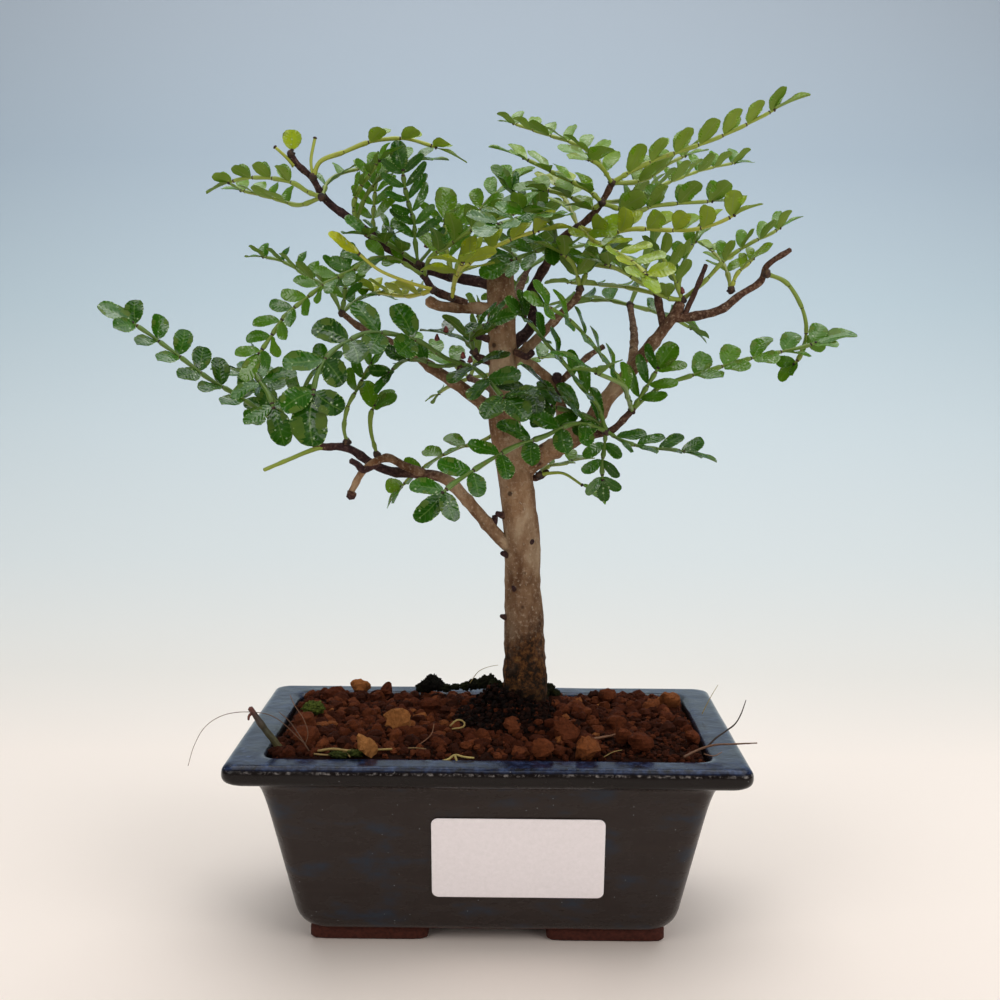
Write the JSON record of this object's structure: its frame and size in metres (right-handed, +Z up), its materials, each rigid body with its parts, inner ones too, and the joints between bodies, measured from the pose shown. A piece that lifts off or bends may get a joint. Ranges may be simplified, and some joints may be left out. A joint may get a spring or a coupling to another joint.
{
  "type": "chinese pepper bonsai in pot",
  "caption": "Chinese pepper bonsai with winged feather leaves on a slender trunk, standing in coarse clay soil in a rectangular dark glazed pot on corner feet.",
  "frame": {"origin": "middle of the bounding box in plan, at the height that the pot's feet stand on", "axes": "+Z up, +X to the right of the pot's labelled front, which faces -Y"},
  "size_m": [0.2274, 0.1334, 0.2569],
  "materials": {
    "glazed_clay": "satin",
    "label_paper": "satin",
    "drain_plastic": "matte",
    "soil_grains": "matte",
    "dry_twig": "matte",
    "bark": "matte",
    "grown_leaf": "satin",
    "young_leaf": "satin"
  },
  "bodies": {
    "root": {"pot": "glazed_clay", "label": "label_paper", "drain_mesh_left": "drain_plastic", "drain_mesh_right": "drain_plastic", "soil": "soil_grains", "twig": "dry_twig", "trunk_and_branches": "bark", "leaves_far_left_high": "grown_leaf", "leaves_left_arch": "young_leaf", "leaf_left_tip": "young_leaf", "leaves_left_high": "grown_leaf", "leaves_left_high_back": "grown_leaf", "leaves_left_upright": "grown_leaf", "leaves_left_long_front": "young_leaf", "leaf_left_yellow": "young_leaf", "leaves_lime_middle": "young_leaf", "leaves_upper_left_middle": "grown_leaf", "leaves_left_twig_end": "grown_leaf", "leaves_front_left": "grown_leaf", "leaves_left_of_trunk": "grown_leaf", "leaves_lower_left_long": "grown_leaf", "leaf_lower_left_upright": "grown_leaf", "leaf_lower_left_second": "grown_leaf", "leaves_front_middle": "grown_leaf", "leaves_centre_dark": "grown_leaf", "leaves_right_front": "grown_leaf", "leaves_right_fork": "young_leaf", "leaves_right_stub": "grown_leaf", "leaves_right_branch": "young_leaf", "leaf_right_drooping": "grown_leaf", "leaves_centre_right": "grown_leaf", "leaves_top_right": "young_leaf", "leaves_upper_middle": "grown_leaf", "leaves_long_yellow": "young_leaf", "leaves_top_left": "young_leaf", "leaves_back_lower": "grown_leaf", "leaf_lower_back_left": "grown_leaf", "leaves_back_left": "grown_leaf", "leaves_back_middle": "grown_leaf", "leaves_back_right": "grown_leaf"}
  },
  "joints": []
}
